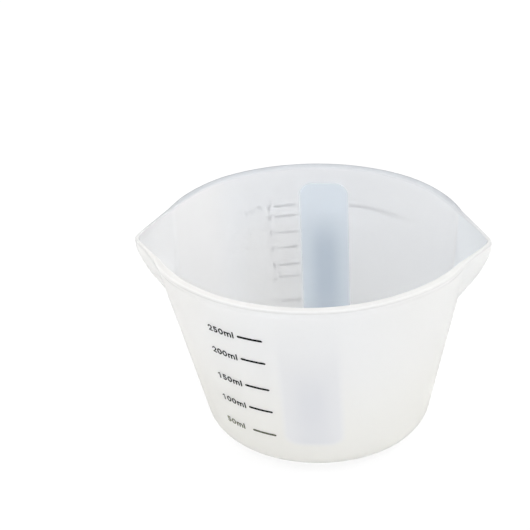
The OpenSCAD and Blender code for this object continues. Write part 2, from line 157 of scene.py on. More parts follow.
@dataclass(frozen=True)
class WallForm:
    """The oval wall that widens upwards, its two spouts and its two sunk windows, as formulas."""

    spout_span: float = 116.0
    cup_height: float = 78.0
    mouth_length: float = 106.0
    mouth_depth: float = 82.5
    base_length: float = 76.0
    base_depth: float = 61.5
    bead_proud: float = 0.8
    rim_dip: float = 2.8
    dip_start: float = 30.0
    spout_depth: float = 23.0
    lip_height: float = 3.0
    spout_bow: float = 2.1
    spout_turn_rim: float = math.radians(21)
    spout_spread: float = 0.4
    bead_from: float = 0.55
    bead_full: float = 1.5
    rim_blunt: float = 2.0
    root_blunt: float = 7.0
    spout_lip_t: float = 1.2
    root_softness: float = 0.06
    front_window_width: float = 19.6
    back_window_width: float = 17.4
    window_shift: float = 1.5
    window_bottom: float = 14.0
    window_top: float = 72.0
    window_corner: float = 4.5
    front_window_step: float = 0.1
    window_fade: float = 45.0
    back_window_step: float = 0.3
    front_window_ramp: float = 3.0
    back_window_ramp: float = 1.2

    @property
    def top_a(self) -> float:
        """Half the mouth's length inside the bead."""
        return self.mouth_length / 2 - self.bead_proud

    @property
    def top_b(self) -> float:
        """Half the mouth's depth inside the bead."""
        return self.mouth_depth / 2 - self.bead_proud

    @property
    def slope_a(self) -> float:
        """How much half the length grows a millimetre of height."""
        return (self.top_a - self.base_length / 2) / self.cup_height

    @property
    def slope_b(self) -> float:
        """How much half the depth grows a millimetre of height."""
        return (self.top_b - self.base_depth / 2) / self.cup_height

    @property
    def tip_x(self) -> float:
        """Reach of a spout's tip."""
        return self.spout_span / 2

    @property
    def tip_factor(self) -> float:
        """How far a tip moves when its sides move out by one.

        Returns:
            One over the sine of half the V's angle.
        """
        side = self.top_b * math.sin(self.spout_turn_rim)
        half_angle = math.atan(side / (self.tip_x - self.top_a * math.cos(self.spout_turn_rim)))
        return 1.0 / math.sin(half_angle)

    def wall_a(self, z: np.ndarray) -> np.ndarray:
        """Half length of the wall's outside at height z: a straight line upwards."""
        return self.base_length / 2 + self.slope_a * z

    def wall_b(self, z: np.ndarray) -> np.ndarray:
        """Half depth of the wall's outside at height z: a straight line upwards."""
        return self.base_depth / 2 + self.slope_b * z

    def ridge(self, z: np.ndarray) -> np.ndarray:
        """Reach of a spout's ridge at height z.

        Below the spout it is the wall. From the spout's root to its lip the extra reach grows as
        1 - (1 - s)^bow, with the start of s rounded off. Above the lip it stands upright.

        Args:
            z: Heights.

        Returns:
            The ridge's distance from the middle.
        """
        root = self.cup_height - self.spout_depth
        lip = self.cup_height - self.lip_height
        raw = (z - root) / (lip - root)
        soft = 0.5 * (raw + np.sqrt(raw * raw + 4 * self.root_softness**2))
        share = np.clip(soft / (0.5 * (1 + math.sqrt(1 + 4 * self.root_softness**2))), 0.0, 1.0)
        grown = self.wall_a(z) + (self.tip_x - self.wall_a(lip)) * (1 - (1 - share) ** self.spout_bow)
        return np.where(z >= lip, self.tip_x, grown)

    def ridge_factor(self, z: np.ndarray) -> np.ndarray:
        """How far the ridge moves when the sides move out by one, from 1 up to tip_factor.

        Args:
            z: Heights.

        Returns:
            The factors: 1 at the root, tip_factor at the lip, and in between by the share of the reach.
        """
        full = self.tip_x - self.wall_a(self.cup_height - self.lip_height)
        share = np.minimum(1.0, (self.ridge(z) - self.wall_a(z)) / full)
        return 1 + (self.tip_factor - 1) * share

    def crease_turn(self, z: np.ndarray) -> np.ndarray:
        """Turn from a spout's ridge to its crease: a power of the height above the root."""
        share = np.maximum(0.0, (z - self.cup_height + self.spout_depth) / self.spout_depth)
        return self.spout_turn_rim * share**self.spout_spread

    def bead_share(self, turn: np.ndarray) -> np.ndarray:
        """Share of the bead that is left at a turn from the ridge: the spouts' lips have none."""
        share = (turn / self.spout_turn_rim - self.bead_from) / (self.bead_full - self.bead_from)
        return np.clip(share, 0.0, 1.0)

    def wall_share(self, turn: np.ndarray, z: np.ndarray, wall: float) -> np.ndarray:
        """Share of the wall's thickness at a turn and a height: a spout's wall thins up to its lip.

        Args:
            turn: Turn from the ridge.
            z: Height.
            wall: The wall's thickness.

        Returns:
            The shares, which fall evenly with height, and less where the bead is left.
        """
        rise = np.maximum(0.0, 1 - (self.cup_height - z) / self.spout_depth)
        return 1 - (1 - self.spout_lip_t / wall) * (1 - self.bead_share(turn)) * rise

    def blunt(self, z: np.ndarray) -> np.ndarray:
        """How blunt a spout's ridge is at height z: even from the rim down to the root."""
        down = np.clip((self.cup_height - z) / self.spout_depth, 0.0, 1.0)
        return self.rim_blunt + (self.root_blunt - self.rim_blunt) * down

    def dip(self, x: np.ndarray, z: np.ndarray) -> np.ndarray:
        """How much a point near the rim sinks towards the spout tips.

        It is the square of the reach past dip_start, times the share of the wall's upper half.

        Args:
            x: Places along the cup.
            z: Heights.

        Returns:
            The dips in millimetres.
        """
        middle = self.cup_height / 2
        rise = np.maximum(0.0, (z - middle) / (self.cup_height - middle))
        out = np.maximum(0.0, (np.abs(x) - self.dip_start) / (self.tip_x - self.dip_start))
        return self.rim_dip * rise * out**2

    def window_width(self, side: Side) -> float:
        """Width of the polished window on one side."""
        return self.front_window_width if side is Side.FRONT else self.back_window_width

    def window_step(self, z: np.ndarray, side: Side) -> np.ndarray:
        """Depth of the polished window: the front one fades out towards its top.

        Args:
            z: Heights.
            side: Which window.

        Returns:
            The depths in millimetres.
        """
        if side is Side.BACK:
            return self.back_window_step + 0 * z
        return self.front_window_step * smooth_step((self.window_top - z) / self.window_fade)

    def window_share(self, x: np.ndarray, z: np.ndarray, side: Side) -> np.ndarray:
        """How far a place lies inside the window: 1 inside, 0 outside, eased over the ramp.

        The distance outside a round-cornered box is measured from a smaller box with sharp
        corners, less the corner's radius.

        Args:
            x: Places along the cup.
            z: Heights.
            side: Which window.

        Returns:
            The shares.
        """
        qx = np.abs(x - self.window_shift) - (self.window_width(side) / 2 - self.window_corner)
        middle = (self.window_top + self.window_bottom) / 2
        qz = np.abs(z - middle) - ((self.window_top - self.window_bottom) / 2 - self.window_corner)
        outside = np.hypot(np.maximum(qx, 0), np.maximum(qz, 0)) + np.minimum(np.maximum(qx, qz), 0)
        ramp = self.front_window_ramp if side is Side.FRONT else self.back_window_ramp
        return smooth_step(0.5 - (outside - self.window_corner) / ramp)

    def speed(self, turn: np.ndarray, z: float) -> np.ndarray:
        """Millimetres along the wall for a radian of the oval's own angle."""
        return np.hypot(self.wall_a(z) * np.sin(turn), self.wall_b(z) * np.cos(turn))

    def walk(self, turn: float, z: float, distance: np.ndarray) -> np.ndarray:
        """The oval's angle a distance further along the wall, stepped from the middle of the way."""
        half_way = turn + distance / self.speed(turn, z) / 2
        return turn + distance / self.speed(half_way, z)

    def print_point(self, turn: np.ndarray, z: np.ndarray, proud: np.ndarray) -> np.ndarray:
        """A place a little off the outside wall, straight out from it.

        Args:
            turn: The oval's own angle.
            z: Height.
            proud: Distance from the wall.

        Returns:
            The places, with x, y and z last.
        """
        a = self.wall_a(z)
        b = self.wall_b(z)
        facing = np.arctan2(np.sin(turn) / b, np.cos(turn) / a)
        x = a * np.cos(turn) + proud * np.cos(facing)
        y = b * np.sin(turn) + proud * np.sin(facing)
        return np.stack(np.broadcast_arrays(x, y, z), axis=-1)


@dataclass(frozen=True)
class Moulding:
    """The cup itself: floor, wall, rim bead, spouts and windows in one skin."""

    form: WallForm
    wall: float = 2.0
    floor_t: float = 2.5
    base_edge_r: float = 9.0
    bead_height: float = 2.6
    bead_foot_round: float = 1.7
    rim_round: float = 0.6
    base_rows: int = 12
    foot_rows: int = 7
    corner_rows: int = 18
    window_rows: int = 50
    top_rows: int = 5
    bead_rows: int = 8
    round_rows: int = 7
    flat_rows: int = 3
    inner_foot_rows: int = 5
    inner_base_rows: int = 10
    spout_columns: int = 34
    side_columns: int = 38
    least_spout_turn: float = math.radians(12)
    window_margin: float = 1.7
    corner_pitch: float = 0.32
    crease_soft: float = 0.16
    middle_columns: int = 12
    pole_rings: tuple = (0.12, 0.32, 0.52, 0.7, 0.86)

    def edge_rows(self, radius: float, z0: float, wall_offset: float, count: int) -> np.ndarray:
        """Rows of the rounded lower edge: an arc that is tangent to the floor and to the leaning wall.

        Args:
            radius: The arc's radius.
            z0: The floor's height.
            wall_offset: The straight wall's offset from the outside.
            count: Rows along the arc.

        Returns:
            Height, offset and bead of each row.
        """
        lean = math.atan(self.form.slope_a)
        up = np.linspace(-math.pi / 2, -lean, count)
        z = z0 + radius + radius * np.sin(up)
        centre = self.form.slope_a * (z0 + radius) - radius / math.cos(lean) + wall_offset
        offset = centre + radius * np.cos(up) - self.form.slope_a * z
        return profile(z, offset, 0.0)

    def rows(self) -> tuple[np.ndarray, np.ndarray, np.ndarray]:
        """The profile from the base's edge up the outside, over the rim and down the inside.

        The bead rises from the wall as 3 v^2 - 2 v^3, and both of the rim's edges are quarter
        circles.

        Returns:
            Height, offset and further offset of the bead of each row, 1 for each row of the
            inside, and how much each row is the rim's edge.
        """
        top = self.form.cup_height
        proud = self.form.bead_proud
        r = self.rim_round
        low, high = self.form.window_bottom, self.form.window_top
        corner = self.form.window_corner
        ramp = self.form.front_window_ramp / 2
        stops = [low - ramp, low + corner, high - corner, high + ramp]
        counts = [self.corner_rows, self.window_rows, self.corner_rows]
        foot_z = top - self.bead_height - self.bead_foot_round
        edge = self.edge_rows(self.base_edge_r, 0.0, 0.0, self.base_rows)
        heights = chain([edge[-1, 0], *stops, foot_z], [self.foot_rows, *counts, self.top_rows])
        wall = profile(heights, 0.0, 0.0)
        foot = steps(0.0, 1.0, self.bead_rows)
        bead = profile(foot_z + foot * 2 * self.bead_foot_round, 0.0, proud * smooth_step(foot))
        up = np.linspace(0.0, math.pi / 2, self.round_rows)
        outer_round = profile(top - r + r * np.sin(up), r * np.cos(up) - r, proud)
        over = np.linspace(0.0, 1.0, self.flat_rows + 2)[1:-1]
        flat = profile(top, -r - (self.wall - 2 * r) * over, proud * (1 - over))
        inner_round = profile(top - r + r * np.cos(up), r - self.wall - r * np.sin(up), 0.0)
        inner_r = self.base_edge_r - self.wall
        inner_edge = self.edge_rows(inner_r, self.floor_t, -self.wall, self.inner_base_rows)[::-1]
        inner_stops = [top - r, *stops[::-1], inner_edge[0, 0]]
        inner_heights = chain(inner_stops, [self.top_rows, *counts, self.inner_foot_rows])[:-1]
        inner = profile(inner_heights, -self.wall, 0.0)
        outside = np.concatenate([edge, wall, bead, outer_round, flat])
        inside = np.concatenate([inner_round, inner, inner_edge])
        is_inside = np.concatenate([np.zeros(len(outside)), np.ones(len(inside))])
        edge_share = np.concatenate([
            np.zeros(len(edge) + len(wall) + len(bead)),
            np.full(len(outer_round), RIM_OUTER),
            np.full(len(flat), RIM_FLAT),
            RIM_FLAT * (1 - np.linspace(0.0, 1.0, len(inner_round)) ** 2),
            np.zeros(len(inner) + len(inner_edge)),
        ])
        return np.concatenate([outside, inside]), is_inside, edge_share

    def quarter(self, rows: np.ndarray, edge_x: float) -> tuple[np.ndarray, np.ndarray]:
        """A quarter of each ring, from the spout's ridge to the window's edge.

        From the ridge a hyperbola falls to the crease, and from there the points lie on the oval.

        Args:
            rows: Height, offset and bead of each row.
            edge_x: Distance of the window's edge from the middle.

        Returns:
            Places in plan, as rings by points by two, and how far each lies between the creases.
        """
        form = self.form
        z, inset, bead = rows[:, :1], rows[:, 1:2], rows[:, 2:]
        spout_turn = form.crease_turn(z)
        split = np.maximum(spout_turn, self.least_spout_turn)
        window_turn = np.arccos(edge_x / (form.wall_a(z) + inset + bead))
        near = split * np.linspace(0.0, 1.0, self.spout_columns + 1)[None, :]
        far = split + (window_turn - split) * steps(0.0, 1.0, self.side_columns)[None, :-1]
        turn = np.concatenate([near, far], axis=1)
        offset = inset * form.wall_share(turn, z, self.wall) + bead * form.bead_share(turn)
        a = form.wall_a(z) + offset
        b = form.wall_b(z) + offset
        reach = form.ridge(z) + offset * form.ridge_factor(z)
        blunt = form.blunt(z)
        y = a * np.sin(spout_turn) * turn / np.maximum(spout_turn, TINY)
        run = np.sqrt((a * np.sin(spout_turn)) ** 2 + blunt**2) - blunt
        fall = (reach - a * np.cos(spout_turn)) / np.maximum(run, TINY)
        spout = np.stack([reach - fall * (np.sqrt(y * y + blunt**2) - blunt), y * b / a], axis=-1)
        oval = np.stack([a * np.cos(turn), b * np.sin(turn)], axis=-1)
        plan = np.where((turn >= spout_turn)[..., None], oval, spout)
        return plan, smooth_step(0.5 + (spout_turn - turn) / (self.crease_soft * form.spout_turn_rim))

    def half_plan(
        self, rows: np.ndarray, inside: np.ndarray, side: Side
    ) -> tuple[np.ndarray, np.ndarray, np.ndarray]:
        """Half of each ring, from the +X ridge round one side to the -X ridge.

        Args:
            rows: Height, offset and bead of each row.
            inside: 1 for each row of the inside.
            side: Front or back.

        Returns:
            Places, as rings by points by three, and each place's share of the window and of the
            spouts.
        """
        form = self.form
        z = rows[:, :1]
        offset = rows[:, 1:2] + rows[:, 2:]
        a = form.wall_a(z) + offset
        b = form.wall_b(z) + offset
        half = form.window_width(side) / 2 + self.window_margin
        corner_count = int((form.window_corner + self.window_margin) / self.corner_pitch)
        corner = np.linspace(0.0, form.window_corner + self.window_margin, corner_count)
        middle = np.linspace(half - corner[-1], corner[-1] - half, self.middle_columns)[1:-1]
        across = np.concatenate([half - corner, middle, corner[::-1] - half])
        window_x = form.window_shift + across[None, :] + 0 * z
        window_y = b * np.sqrt(1 - (window_x / a) ** 2)
        window = np.stack([window_x, window_y], axis=-1)
        right, right_spout = self.quarter(rows, half + form.window_shift)
        left, left_spout = self.quarter(rows, half - form.window_shift)
        plan = np.concatenate([right, window, left[:, ::-1] * np.array([-1.0, 1.0])], axis=1)
        spout = np.concatenate([right_spout, 0 * window_x, left_spout[:, ::-1]], axis=1)
        share = form.window_share(plan[..., 0], z, side)
        y = plan[..., 1] - form.window_step(z, side) * share * (1 - inside[:, None])
        height = z - form.dip(plan[..., 0], z)
        return np.stack([plan[..., 0], side.value * y, height], axis=-1), share, spout

    def build(self) -> bpy.types.Object:
        """Builds the whole skin as one closed mesh, its floor and base drawn in to a pole.

        Returns:
            The cup's object, with the attributes inside, rim_edge, spout, front_window and
            back_window.
        """
        rows, inside, edge_share = self.rows()
        back, back_share, back_spout = self.half_plan(rows, inside, Side.BACK)
        front, front_share, front_spout = self.half_plan(rows, inside, Side.FRONT)
        rings = np.concatenate([back, front[:, -2:0:-1]], axis=1)
        shares = {
            "back_window": np.concatenate([back_share, 0 * front_share[:, -2:0:-1]], axis=1),
            "front_window": np.concatenate([0 * back_share, front_share[:, -2:0:-1]], axis=1),
            "spout": np.concatenate([back_spout, front_spout[:, -2:0:-1]], axis=1),
        }
        shrink = np.array(self.pole_rings)[:, None, None]
        draw_in = np.concatenate([shrink, shrink, 0 * shrink + 1], axis=2)
        base = rings[:1] * draw_in
        floor = rings[-1:] * draw_in[::-1]
        grid = np.concatenate([base, rings, floor])
        extra = np.zeros((len(shrink), grid.shape[1]))
        row_values = {
            "inside": np.concatenate([extra[:, 0], inside, extra[:, 0] + 1]),
            "rim_edge": np.concatenate([extra[:, 0], edge_share, extra[:, 0]]),
        }
        row_count, ring_count = grid.shape[:2]
        poles = np.array([[0.0, 0.0, 0.0], [0.0, 0.0, self.floor_t]])
        points = np.concatenate([grid.reshape(-1, 3), poles])
        index = np.arange(row_count * ring_count).reshape(row_count, ring_count)
        beside = np.roll(index, -1, axis=1)
        quads = np.stack([index[:-1], beside[:-1], beside[1:], index[1:]], axis=-1).reshape(-1, 4)
        under = np.full(ring_count, index.size)
        base_fan = np.stack([under, beside[0], index[0]], axis=1)
        floor_fan = np.stack([under + 1, index[-1], beside[-1]], axis=1)
        cup = build_mesh("cup_moulding", points, quads, np.concatenate([base_fan, floor_fan]))
        for name, values in row_values.items():
            set_point_value(cup, name, np.append(np.repeat(values, ring_count), values[[0, -1]]))
        for name, share in shares.items():
            set_point_value(cup, name, np.append(np.concatenate([extra, share, extra]).ravel(), [0.0, 0.0]))
        return cup


@dataclass(frozen=True)
class PrintedWord:
    """One printed label: where it starts on the wall and what it says."""

    node: str
    piece: str
    text: str
    turn: float
    height: float


@dataclass(frozen=True)
class Printing:
    """The ink labels: round-ended strokes that follow the wall."""

    form: WallForm
    ink: float = 0.12
    ink_gap: float = 0.03
    numeral_h: float = 2.5
    numeral_squeeze: float = 0.86
    stroke_w: float = 0.42
    arc_step: float = math.radians(12)
    cap_turn: float = 80.0
    cap_steps: int = 4
    sharpest_corner: float = 1.2
    same_place: float = 1e-6
    layer: float = 0.004
    layers: int = 3
    glyph_step: float = 0.94
    ml_heights: tuple = ((250, 63.1), (200, 52.8), (150, 40.2), (100, 29.2), (50, 17.3))
    oz_heights: tuple = ((9, 62.9), (8, 58.8), (7, 52.3), (6, 46.2), (5, 39.2), (4, 34.2), (3, 24.1))
    cup_line_z: float = 62.9
    ml_turn_rim: float = 14.2
    ml_turn_foot: float = 16.2
    ml_line_l: float = 8.5
    ml_label_reach: float = 10.7
    oz_turn: float = 10.4
    oz_line_l: float = 7.8
    oz_label_gap: float = 0.8
    cup_line_gap: float = 0.4
    cup_line_l: float = 10.3
    cup_label_reach: float = 8.4

    def arc(self, cx: float, cy: float, rx: float, ry: float, first: float, last: float) -> np.ndarray:
        """Points of part of an ellipse.

        Args:
            cx: Its middle, across.
            cy: Its middle, up.
            rx: Half its width.
            ry: Half its height.
            first: The first angle in degrees.
            last: The last angle in degrees.

        Returns:
            The points, about arc_step apart.
        """
        count = max(3, int(abs(math.radians(last - first)) / self.arc_step) + 1)
        turn = np.radians(np.linspace(first, last, count))
        return np.stack([cx + rx * np.cos(turn), cy + ry * np.sin(turn)], axis=1)

    def path(self, *parts: object) -> np.ndarray:
        """Joins points and arcs to one path.

        Args:
            parts: Points and rows of points, in order.

        Returns:
            The path, without points that repeat the one before.
        """
        points = np.concatenate([np.atleast_2d(np.array(part, float)) for part in parts])
        keep = np.append(True, np.hypot(*np.diff(points, axis=0).T) > self.same_place)
        return points[keep]

    def strokes(self, letter: str) -> list[np.ndarray]:
        """The strokes of a numeral or letter on a grid on which a numeral is 1 high.

        Args:
            letter: The numeral or letter.

        Returns:
            Each stroke's middle line.
        """
        arc, path = self.arc, self.path
        drawings = {
            "0": [arc(0.36, 0.5, 0.3, 0.42, 90, 450)],
            "1": [path([0.12, 0.74], [0.4, 0.93], [0.4, 0.04])],
            "2": [path(arc(0.35, 0.65, 0.27, 0.28, 165, -30), [0.12, 0.08], [0.66, 0.08])],
            "3": [arc(0.33, 0.7, 0.22, 0.22, 150, -90), arc(0.33, 0.29, 0.25, 0.22, 90, -150)],
            "4": [path([0.5, 0.04], [0.5, 0.92], [0.08, 0.28], [0.7, 0.28])],
            "5": [path([0.6, 0.92], [0.18, 0.92], [0.13, 0.47], arc(0.34, 0.32, 0.26, 0.25, 125, -150))],
            "6": [
                arc(0.35, 0.3, 0.25, 0.23, 90, 450),
                path([0.56, 0.92], arc(0.45, 0.42, 0.35, 0.42, 100, 180)),
            ],
            "7": [path([0.06, 0.92], [0.62, 0.92], [0.26, 0.04])],
            "8": [arc(0.35, 0.28, 0.25, 0.22, 90, 450), arc(0.35, 0.71, 0.21, 0.2, 90, 450)],
            "9": [
                arc(0.35, 0.68, 0.25, 0.24, 90, 450),
                path([0.14, 0.06], arc(0.25, 0.55, 0.35, 0.45, -80, 0)),
            ],
            "m": [
                path([0.1, 0.04], [0.1, 0.68]),
                path(arc(0.34, 0.44, 0.24, 0.22, 180, 0), [0.58, 0.04]),
                path(arc(0.82, 0.44, 0.24, 0.22, 180, 0), [1.06, 0.04]),
            ],
            "l": [path([0.1, 0.04], [0.1, 0.98])],
            "f": [path([0.2, 0.04], arc(0.38, 0.78, 0.18, 0.17, 180, 60)), path([0.04, 0.6], [0.44, 0.6])],
            "o": [arc(0.33, 0.34, 0.25, 0.28, 90, 450)],
            "z": [path([0.08, 0.6], [0.52, 0.6], [0.1, 0.08], [0.56, 0.08])],
            "c": [arc(0.34, 0.34, 0.25, 0.28, 50, 310)],
            "u": [
                path([0.1, 0.62], arc(0.32, 0.3, 0.22, 0.22, 180, 360), [0.54, 0.62]),
                path([0.54, 0.62], [0.54, 0.04]),
            ],
            "p": [path([0.1, 0.64], [0.1, -0.28]), arc(0.35, 0.34, 0.25, 0.28, 90, 450)],
        }
        return drawings[letter]

    def advance(self, letter: str) -> float:
        """How far one glyph moves the next along, in numeral heights before the squeeze."""
        return {"m": 1.36, "l": 0.4, " ": 0.6, "f": 0.56}.get(letter, self.glyph_step)

    def ribbon(self, stroke: np.ndarray) -> tuple[np.ndarray, np.ndarray]:
        """Left and right edges of a stroke with round ends.

        Each station's half width is the stroke's, and near both ends it falls as a quarter
        circle; in a corner it grows by one over the cosine of half the turn.

        Args:
            stroke: The stroke's middle line in millimetres of the flat label.

        Returns:
            The two edges, one point a station.
        """
        r = self.stroke_w / 2
        closed = np.hypot(*(stroke[0] - stroke[-1])) < self.same_place
        ahead = np.diff(stroke, axis=0)
        ahead = ahead / np.hypot(ahead[:, 0], ahead[:, 1])[:, None]
        before = np.concatenate([ahead[-1:] if closed else ahead[:1], ahead])
        after = np.concatenate([ahead, ahead[:1] if closed else ahead[-1:]])
        both = before + after
        size = np.maximum(np.sum(both * both, axis=1), self.sharpest_corner)[:, None]
        across = np.stack([-both[:, 1], both[:, 0]], axis=1) * 2 / size
        width = np.full(len(stroke), r)
        if not closed:
            turn = np.radians(np.linspace(self.cap_turn, 0, self.cap_steps + 1))[:-1]
            start = stroke[0] - ahead[0] * (r * np.sin(turn))[:, None]
            end = stroke[-1] + ahead[-1] * (r * np.sin(turn[::-1]))[:, None]
            stroke = np.concatenate([start, stroke, end])
            first = np.repeat(across[:1], len(turn), axis=0)
            final = np.repeat(across[-1:], len(turn), axis=0)
            across = np.concatenate([first, across, final])
            width = np.concatenate([r * np.cos(turn), width, r * np.cos(turn[::-1])])
        return stroke + across * width[:, None], stroke - across * width[:, None]

    def build(self, word: PrintedWord) -> bpy.types.Object:
        """Builds one label: each stroke is a four-sided band whose corners lie off the wall.

        Args:
            word: The label.

        Returns:
            Its object.
        """
        form = self.form
        glyph_w = self.numeral_h * self.numeral_squeeze
        foot = word.height - self.numeral_h / 2
        points, quads = [], []
        cursor, count, order = 0.0, 0, 0
        for letter in word.text:
            for stroke in [] if letter == " " else self.strokes(letter):
                flat = (stroke + [cursor, 0.0]) * [glyph_w, self.numeral_h]
                left, right = self.ribbon(flat)
                lift = self.ink_gap + self.layer * (order % self.layers)
                corners = [(left, lift), (right, lift), (right, lift + self.ink), (left, lift + self.ink)]
                band = np.stack([
                    form.print_point(form.walk(word.turn, word.height, edge[:, 0]), foot + edge[:, 1], proud)
                    for edge, proud in corners
                ], axis=1)
                index = count + np.arange(4 * len(band)).reshape(-1, 4)
                beside = np.roll(index, -1, axis=1)
                sides = np.stack([index[:-1], index[1:], beside[1:], beside[:-1]], axis=-1)
                quads += [sides.reshape(-1, 4), index[:1], index[-1:, ::-1]]
                points.append(band.reshape(-1, 3))
                count += index.size
                order += 1
            cursor += self.advance(letter)
        return build_mesh(word.piece, np.concatenate(points), np.concatenate(quads), smooth=False)

    def words(self) -> list[PrintedWord]:
        """Every label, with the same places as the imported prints.

        Returns:
            The labels of the front scale, of the back scale and of the long line.
        """
        form = self.form
        front, back = math.radians(270), math.radians(90)
        found = []
        for volume, z in self.ml_heights:
            turn = self.ml_turn_foot + (self.ml_turn_rim - self.ml_turn_foot) * z / form.cup_height
            line = form.walk(front - math.radians(turn), z, -self.ml_line_l)
            turn = form.walk(line, z, -self.ml_label_reach)
            found.append(PrintedWord(f"numerals_{volume}_ml", f"label_{volume}_ml", f"{volume}ml", turn, z))
        for ounces, z in self.oz_heights:
            node = "numerals_9_oz" if ounces == 9 else f"numeral_{ounces}_oz"
            text = "9 fl oz" if ounces == 9 else str(ounces)
            turn = form.walk(back + math.radians(self.oz_turn), z, self.oz_line_l + self.oz_label_gap)
            found.append(PrintedWord(node, f"label_{ounces}_oz", text, turn, z))
        z = self.cup_line_z
        edge = form.window_shift + form.back_window_width / 2 + self.cup_line_gap
        line = form.walk(back - math.asin(edge / form.wall_a(z)), z, -self.cup_line_l)
        turn = form.walk(line, z, -self.cup_label_reach)
        found.append(PrintedWord("numerals_one_cup", "label_one_cup", "1cup", turn, z))
        return found


class NodeTree:
    """A short way to place and join shader nodes."""

    def __init__(self, tree: bpy.types.NodeTree) -> None:
        """Takes a tree and empties it."""
        self.tree = tree
        tree.nodes.clear()

    def add(self, kind: str, inputs: dict | None = None, **settings: object) -> bpy.types.Node:
        """Adds a node.

        Args:
            kind: The node's type name without the ShaderNode prefix.
            inputs: Values or sockets for its inputs, by name or number.
            settings: The node's own settings.

        Returns:
            The node.
        """
        node = self.tree.nodes.new(kind if kind.startswith("NodeGroup") else "ShaderNode" + kind)
        for key, value in settings.items():
            setattr(node, key, value)
        for key, value in (inputs or {}).items():
            if isinstance(value, Socket):
                self.tree.links.new(value, node.inputs[key])
            else:
                node.inputs[key].default_value = value
        return node

    def math(self, operation: str, first: object, second: object = 0.0) -> Socket:
        """Adds a Math node and returns its result."""
        return self.add("Math", {0: first, 1: second}, operation=operation).outputs[0]

    def times(self, first: object, second: object) -> Socket:
        """Multiplies two values."""
        return self.math("MULTIPLY", first, second)

    def rest(self, share: object) -> Socket:
        """Takes a share from one."""
        return self.math("SUBTRACT", 1.0, share)

    def point_value(self, name: str) -> Socket:
        """Reads a value that the mesh has at each corner."""
        return self.add("Attribute", attribute_name=name).outputs["Fac"]

    def blend(self, factor: object, first: object, second: object) -> Socket:
        """Mixes two colours.

        Args:
            factor: 0 for the first and 1 for the second.
            first: A socket, or red, green and blue.
            second: A socket, or red, green and blue.

        Returns:
            The mixed colour.
        """
        first, second = ((*c, 1.0) if isinstance(c, tuple) else c for c in (first, second))
        # A Mix node's inputs 6 and 7 and its output 2 are the ones for colours
        return self.add("Mix", {0: factor, 6: first, 7: second}, data_type="RGBA").outputs[2]

    def ramp(self, value: object, start: float, end: float, low: float = 0.0, high: float = 1.0) -> Socket:
        """Goes smoothly from low to high while a length goes from start to end, in millimetres."""
        limits = {0: value, 1: start * MM, 2: end * MM, 3: low, 4: high}
        return self.add("MapRange", limits, interpolation_type="SMOOTHSTEP").outputs[0]

    def band(self, value: object, middle: float, half_width: float, soft: float) -> Socket:
        """1 within half_width of a middle, and 0 past a soft edge, in millimetres."""
        off_middle = self.math("ABSOLUTE", self.math("SUBTRACT", value, middle * MM))
        return self.ramp(off_middle, half_width, half_width + soft, 1.0, 0.0)


def start_material(name: str) -> tuple[bpy.types.Material, NodeTree]:
    """Makes a material without nodes.

    Args:
        name: The material's name.

    Returns:
        The material and its tree.
    """
    material = bpy.data.materials.new(name)
    material.use_nodes = True
    return material, NodeTree(material.node_tree)


class SurfaceEffects:
    """Shader node groups that more than one finish uses."""

    fine_detail: float = 3.0
    slow_detail: float = 2.0

    def __init__(self) -> None:
        """Builds each group once."""
        self.grain = self.build_grain()

    def build_grain(self) -> bpy.types.NodeTree:
        """Fine moulded grain: two sizes of noise.

        Returns:
            A group that puts out a height for bump and a slow mottling value.
        """
        group = bpy.data.node_groups.new("moulded_grain", "ShaderNodeTree")
        for name, kind in (("Coordinates", "NodeSocketVector"), ("Grain Scale", "NodeSocketFloat"),
                           ("Mottle Scale", "NodeSocketFloat")):
            group.interface.new_socket(name, in_out="INPUT", socket_type=kind)
        for name in ("Height", "Mottle"):
            group.interface.new_socket(name, in_out="OUTPUT", socket_type="NodeSocketFloat")
        nodes = NodeTree(group)
        given = nodes.add("NodeGroupInput")
        place, grain_scale, mottle_scale = given.outputs[0], given.outputs[1], given.outputs[2]
        fine = nodes.add("TexNoise", {"Vector": place, "Scale": grain_scale, "Detail": self.fine_detail})
        slow = nodes.add("TexNoise", {"Vector": place, "Scale": mottle_scale, "Detail": self.slow_detail})
        nodes.add("NodeGroupOutput", {0: fine.outputs[0], 1: slow.outputs[0]})
        return group


